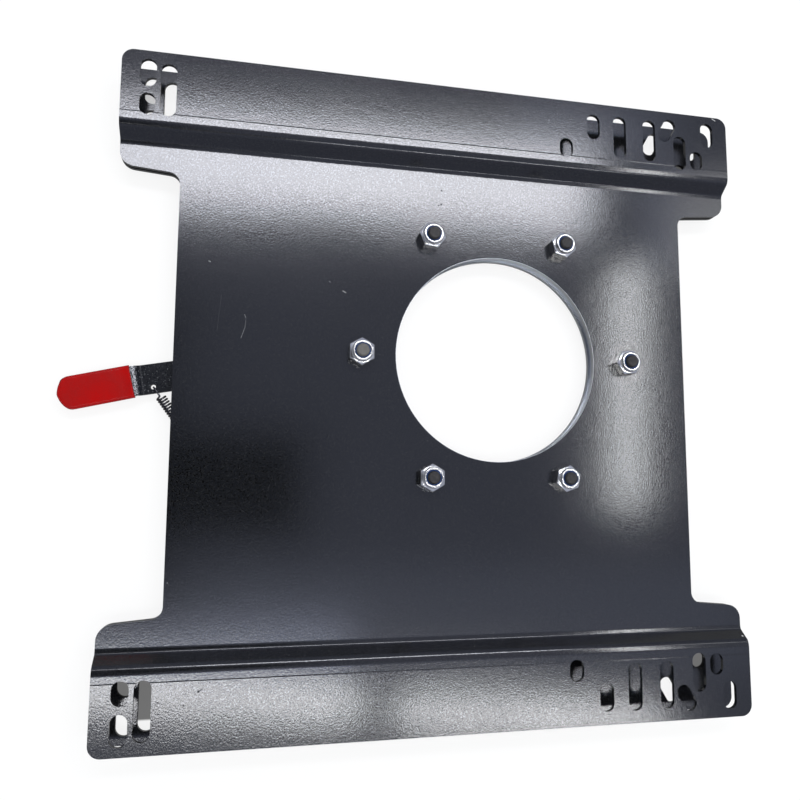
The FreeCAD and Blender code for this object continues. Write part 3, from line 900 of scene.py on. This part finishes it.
def buildGrip(node, shape):
    middle = middleOf(node).z
    straight = shape["noseFrom"]
    nose = shape["tip"] - straight
    count = shape["across"]
    noseAlongs = [straight + nose * i / shape["borderPoints"] for i in range(shape["borderPoints"] + 1)]
    border = [(a, side * gripHalfWidth(a, shape)) for side in (-1, 1) for a in noseAlongs]
    sleeve = []
    for along in gripStations(shape):
        half = gripHalfWidth(along, shape)
        fromStart = along - shape["start"]
        swell = shape["rimSwell"] * math.exp(-((fromStart - shape["rimCrest"]) / shape["rimSpread"]) ** 2)
        opening = math.sin(min(1.0, fromStart / shape["lipLength"]) * math.pi / 2)
        lip = min(1.0, shape["lipShare"] + (1 - shape["lipShare"]) * opening)
        row = []
        for j in range(count + 1):
            across = -half * math.cos(math.pi * j / count)
            depth = half - abs(across)
            if along > straight - shape["noseLead"]:
                depth = min([depth] + [math.hypot(along - a, across - b) for a, b in border])
            share = min(1.0, depth / shape["edgeRound"])
            rounded = math.sqrt(max(0.0, 1 - (1 - share) ** 2))
            row.append((across, (shape["thickness"] / 2 * lip + swell) * rounded))
        sleeve.append(gripRing(along, row, middle, shape, "sleeveTurn"))
    hollow = []
    halfThick = shape["tongueThickness"] / 2
    alongs = [shape["start"]] + [straight + step for step in shape["tongueSteps"]]
    for along in alongs + [shape["tip"] - shape["tongueTip"]]:
        room = gripHalfWidth(along + shape["wallLead"], shape) - shape["wall"]
        half = min(shape["tongueHalfWidth"], room)
        row = [(-half * math.cos(math.pi * j / count), halfThick if 0 < j < count else 0.0)
               for j in range(count + 1)]
        hollow.append(gripRing(along, row, middle, shape, "tongueTurn"))
    points, faces = skinRings(list(reversed(hollow)) + sleeve)
    grip = meshPiece("grip", points, faces, redVinyl)
    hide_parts(node)
    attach(grip, "lever")


buildGrip("lever_grip", gripShape)
print("grip built")

# the return spring: a wire from the lever's hole, coiled, to the post

springShape = {
    "meanRadius": mm(2.8),
    "wireRadius": mm(0.65),
    "leg": mm(5.0),            # from the coil's end to the middle of the hook's bend
    "tail": mm(1.5),
    "lead": mm(0.9),           # the wire leaves the coil over this length
    "turns": 25.25,
    "stepsPerTurn": 20,
    "bendSteps": 10,
    "holeRadius": mm(1.7),
    "grooveRadius": mm(1.8),
    "seatGap": mm(0.05),
    "hookAlong": mm(90.34),
    "hookAcross": mm(5.6),
    "heldLength": mm(4),       # this much of each end moves with its hook
    "sides": 12,
}


# A smooth curve through a list of points, with the given number of steps between neighbours.
def smoothPath(points, steps):
    path = []
    for i in range(len(points) - 1):
        before = points[max(i - 1, 0)]
        here, there = points[i], points[i + 1]
        after = points[min(i + 2, len(points) - 1)]
        slope = there - before
        bend = 2 * before - 5 * here + 4 * there - after
        twist = 3 * here - before - 3 * there + after
        for j in range(steps):
            t = j / steps
            path.append(0.5 * ((2 * here) + slope * t + bend * t ** 2 + twist * t ** 3))
    path.append(points[-1])
    return path


def buildSpring(node, shape):
    radius, leg, lead = shape["meanRadius"], shape["leg"], shape["lead"]
    hook = leverAxis + leverAlong * shape["hookAlong"] + leverAside * shape["hookAcross"]
    post = middleOf("spring_post")
    hook.z = post.z = middleOf(node).z
    along = (post - hook).normalized()
    up = Vector((0, 0, 1))
    aside = along.cross(up)
    intoHole = shape["holeRadius"] / 6
    roundPost = shape["grooveRadius"] + shape["wireRadius"] + shape["seatGap"]
    coilLength = (post - hook).length - intoHole + roundPost - 2 * (leg + radius)
    start = hook + along * (intoHole + leg + radius)

    def place(x, y, z):
        return start + up * x + aside * y + along * z

    halfTurn = [math.pi * i / shape["bendSteps"] for i in range(shape["bendSteps"] + 1)]
    near = [place(-radius, 0, -leg + shape["tail"])]
    near += [place(-radius * math.cos(turn), 0, -leg - radius * math.sin(turn)) for turn in halfTurn]
    near += [place(radius, 0, -leg * 0.5), place(radius, 0, -lead)]
    near.append(place(radius * 0.99, radius * 0.12, -mm(0.25)))
    coil = []
    steps = int(shape["turns"] * shape["stepsPerTurn"])
    for i in range(2, steps - 1):
        turn = 2 * math.pi * shape["turns"] * i / steps
        coil.append(place(radius * math.cos(turn), radius * math.sin(turn), coilLength * i / steps))
    far = [place(radius * 0.12, radius * 0.99, coilLength + mm(0.25))]
    far += [place(0, radius, coilLength + lead), place(0, radius, coilLength + leg * 0.5)]
    far += [place(0, radius * math.cos(turn), coilLength + leg + radius * math.sin(turn))
            for turn in halfTurn]
    far.append(place(0, -radius, coilLength + leg - shape["tail"]))
    points, faces = wireTube(smoothPath(near + coil + far, 2), shape["wireRadius"], shape["sides"])
    spring = meshPiece("spring", points, faces, springWire)
    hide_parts(node)
    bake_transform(spring)


buildSpring("return_spring", springShape)
print("spring built")

# floor, light and camera

stageLook = {
    "floorReach": 6.0,
    "floorGap": mm(0.2),        # from the floor up to the base plate
    "floorColour": (0.97, 0.97, 0.97, 1),
    "paintedShadows": (                 # patches of painted shadow on the floor: middle, half size and how dark
        ((0.2008, -0.1980), (0.0131, 0.0065), 0.82),
        ((0.1970, -0.2095), (0.0090, 0.0050), 0.82),
        ((-0.2081, -0.2113), (0.0100, 0.0090), 0.40),
        ((0.1936, 0.2014), (0.0100, 0.0090), 0.82),
        ((-0.1973, 0.2010), (0.0065, 0.0070), 0.90),
    ),
    "paintedShadowEdge": (0.97, 1.07),
    "mirroredShare": 0.30,      # how bright the floor is in reflections
    "shadowShare": 0.16,
    "ambient": (0.95, 0.98, 1.0, 1),
    "ambientStrength": 0.72,
    "reflected": (0.82, 0.88, 1.17, 1),
    "reflectedStrength": 0.42,
    "lowShare": 0.75,           # reflections of the room are this much weaker low down
    "lowSpan": (0.30, 0.78),
}


def flatPanel(name, corners):
    mesh = bpy.data.meshes.new(name)
    mesh.from_pydata(corners, [], [(0, 1, 2, 3)])
    panel = bpy.data.objects.new(name, mesh)
    bpy.context.scene.collection.objects.link(panel)
    return panel


# The camera and mirrors see the floor as plain light with a share of real shadow in it, and patches of
# painted shadow darken it.
def buildFloor(look):
    size = look["floorReach"]
    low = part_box("bottom_plate")[0].z - look["floorGap"]
    floor = flatPanel("floor", [(-size, -size, low), (size, -size, low), (size, size, low),
                                (-size, size, low)])
    material, tree = bareMaterial("floorPaint")
    rays = addNode(tree, "ShaderNodeLightPath").outputs
    seen = mathNode(tree, "MAXIMUM", rays["Is Camera Ray"], rays["Is Glossy Ray"])
    cleanOrUnshaded = remap(tree, rays["Is Glossy Ray"], 0.0, 1.0, 1.0, look["mirroredShare"])
    place = partsOf(tree, objectPlace(tree))
    # painted shadow: each patch darkens both the floor's paint and its plain light
    for middle, halfSize, dark in look["paintedShadows"]:
        away = 0.0
        for axis in (0, 1):
            off = mathNode(tree, "SUBTRACT", place[axis], middle[axis])
            share = mathNode(tree, "ABSOLUTE", mathNode(tree, "DIVIDE", off, halfSize[axis]))
            away = mathNode(tree, "MAXIMUM", away, share)
        cleanOrUnshaded = mathNode(tree, "MULTIPLY", cleanOrUnshaded, remap(tree, away, *look["paintedShadowEdge"], 1 - dark, 1.0))
    tone = addNode(tree, "ShaderNodeCombineColor", {0: cleanOrUnshaded, 1: cleanOrUnshaded, 2: cleanOrUnshaded}).outputs[0]
    colour = mixColours(tree, cleanOrUnshaded, (0, 0, 0, 1), look["floorColour"])
    paint = addNode(tree, "ShaderNodeBsdfDiffuse", {"Color": colour}).outputs[0]
    white = addNode(tree, "ShaderNodeEmission", {"Color": tone, "Strength": 1.0}).outputs[0]
    share = mathNode(tree, "MULTIPLY", seen, 1 - look["shadowShare"])
    mix = addNode(tree, "ShaderNodeMixShader", {0: share, 1: paint, 2: white})
    addNode(tree, "ShaderNodeOutputMaterial", {"Surface": mix.outputs[0]})
    floor.data.materials.append(material)


def buildWorld(look):
    world = bpy.data.worlds.new("studio")
    world.use_nodes = True
    bpy.context.scene.world = world
    tree = world.node_tree
    tree.nodes.clear()
    high = partsOf(tree, addNode(tree, "ShaderNodeTexCoord").outputs["Generated"])[2]
    most = look["reflectedStrength"]
    strength = remap(tree, high, *look["lowSpan"], most * look["lowShare"], most)

    def background(colour, strength):
        return addNode(tree, "ShaderNodeBackground", {"Color": colour, "Strength": strength}).outputs[0]

    rays = addNode(tree, "ShaderNodeLightPath").outputs
    soft = background(look["ambient"], look["ambientStrength"])
    for ray, other in (("Is Glossy Ray", background(look["reflected"], strength)),
                       ("Is Camera Ray", background((1, 1, 1, 1), 1.0))):
        soft = addNode(tree, "ShaderNodeMixShader", {0: rays[ray], 1: soft, 2: other}).outputs[0]
    addNode(tree, "ShaderNodeOutputWorld", {"Surface": soft})


# Lamps overhead, each by the place of its middle, its size along X and Y and its brightness, and
# by its turn and colour where it isn't square to the room and white.
coolGlow = (0.82, 0.92, 1.22)
lampShapes = {
    "farBoxLeft": {"at": (-0.786, -0.290, 1.50), "size": (0.243, 0.50), "brightness": 11.2,
                   "colour": (0.98, 0.985, 1.05)},
    "farBoxRight": {"at": (-0.790, 0.376, 1.50), "size": (0.235, 0.832), "brightness": 11.3,
                    "colour": (0.98, 0.985, 1.04)},
    "nearTubeLeft": {"at": (0.5345, -0.210, 1.50), "size": (0.080, 0.72), "brightness": 14.8,
                     "turn": -6.6},
    "nearTubeRight": {"at": (0.6300, 0.595, 1.50), "size": (0.078, 0.73), "brightness": 14.2,
                      "turn": -5.6},
    "sideTube": {"at": (-0.243, 0.891, 1.50), "size": (0.690, 0.074), "brightness": 15.0,
                 "turn": -1.8},
    "nearGlow": {"at": (0.400, 0.400, 1.52), "size": (0.300, 1.70), "brightness": 0.25,
                 "colour": coolGlow},
    "frontGlow": {"at": (0.435, -0.200, 1.51), "size": (0.110, 0.64), "brightness": 1.7,
                  "colour": coolGlow},
    "farGlow": {"at": (-0.985, 0.800, 1.51), "size": (0.110, 0.46), "brightness": 0.85,
                "colour": coolGlow},
    "rightGlow": {"at": (-0.740, 1.020, 1.51), "size": (0.320, 0.08), "brightness": 1.0,
                  "colour": coolGlow},
    "cornerBox": {"at": (-0.720, 1.240, 1.50), "size": (0.300, 0.36), "brightness": 2.0},
}


def buildLamp(name, shape):
    lamp = bpy.data.lights.new(name, "AREA")
    lamp.shape = "RECTANGLE"
    wide, deep = shape["size"]
    lamp.size = wide
    lamp.size_y = deep
    lamp.energy = shape["brightness"] * math.pi * wide * deep
    lamp.color = shape.get("colour", (1, 1, 1))
    lampObject = bpy.data.objects.new(name, lamp)
    lampObject.location = shape["at"]
    lampObject.rotation_euler = (0, 0, math.radians(shape.get("turn", 0.0)))
    bpy.context.scene.collection.objects.link(lampObject)


# A card low overhead that only reflections see. It is clear but for dark boxes, each by its low
# and high corner, how dark it is and over what distance that fades.
lowShade = {
    "low": (-0.34, -1.30),
    "high": (0.40, 0.20),
    "height": 0.562,
    "boxes": (((0.008, -0.266), (0.100, -0.086), 1.0, 0.028),
              ((-0.17, -0.90), (0.20, -0.266), 0.84, 0.044)),
}


def buildLowShade(shape):
    (left, front), (right, back), high = shape["low"], shape["high"], shape["height"]
    card = flatPanel("lowShade", [(left, front, high), (left, back, high), (right, back, high),
                                  (right, front, high)])
    material, tree = bareMaterial("lowShadeTone")
    place = partsOf(tree, objectPlace(tree))
    clear = 1.0
    for low, top, dark, fade in shape["boxes"]:
        outside = []
        for axis in (0, 1):
            middle, half = (low[axis] + top[axis]) / 2, (top[axis] - low[axis]) / 2
            off = mathNode(tree, "ABSOLUTE", mathNode(tree, "SUBTRACT", place[axis], middle))
            out = mathNode(tree, "MAXIMUM", mathNode(tree, "SUBTRACT", off, half), 0.0)
            outside.append(mathNode(tree, "MULTIPLY", out, out))
        away = mathNode(tree, "SQRT", mathNode(tree, "ADD", *outside))
        shade = mathNode(tree, "EXPONENT", mathNode(tree, "DIVIDE", away, -fade))
        let = mathNode(tree, "SUBTRACT", 1.0, mathNode(tree, "MULTIPLY", shade, dark))
        clear = mathNode(tree, "MULTIPLY", clear, let)
    through = addNode(tree, "ShaderNodeBsdfTransparent", {"Color": (1, 1, 1, 1)}).outputs[0]
    black = addNode(tree, "ShaderNodeEmission", {"Color": (0, 0, 0, 1), "Strength": 0.0}).outputs[0]
    both = addNode(tree, "ShaderNodeMixShader", {0: clear, 1: black, 2: through})
    addNode(tree, "ShaderNodeOutputMaterial", {"Surface": both.outputs[0]})
    card.data.materials.append(material)
    card.visible_camera = False
    card.visible_diffuse = False
    card.visible_shadow = False
    card.visible_transmission = False


# The photograph's camera, by where it stands, its turn, and the middle of its view.
cameraShape = {
    "at": (0.07135, -0.13567, 0.56160),
    "turn": (6.912, -12.907, 90.062),
    "lens": 35.693,
    "sensor": 36.0,
    "shift": (-0.03933, 0.00181),
    "nearest": 0.01,
}


def buildCamera(shape):
    camera = bpy.data.cameras.new("camera")
    camera.sensor_width = shape["sensor"]
    camera.sensor_fit = "HORIZONTAL"
    camera.lens = shape["lens"]
    camera.shift_x, camera.shift_y = shape["shift"]
    camera.clip_start = shape["nearest"]
    cameraObject = bpy.data.objects.new("camera", camera)
    cameraObject.location = shape["at"]
    cameraObject.rotation_euler = [math.radians(angle) for angle in shape["turn"]]
    bpy.context.scene.collection.objects.link(cameraObject)
    bpy.context.scene.camera = cameraObject


buildFloor(stageLook)
buildWorld(stageLook)
for name, shape in lampShapes.items():
    buildLamp(name, shape)
buildLowShade(lowShade)
buildCamera(cameraShape)
bpy.context.scene.view_settings.view_transform = "Standard"
print("floor, light and camera set")
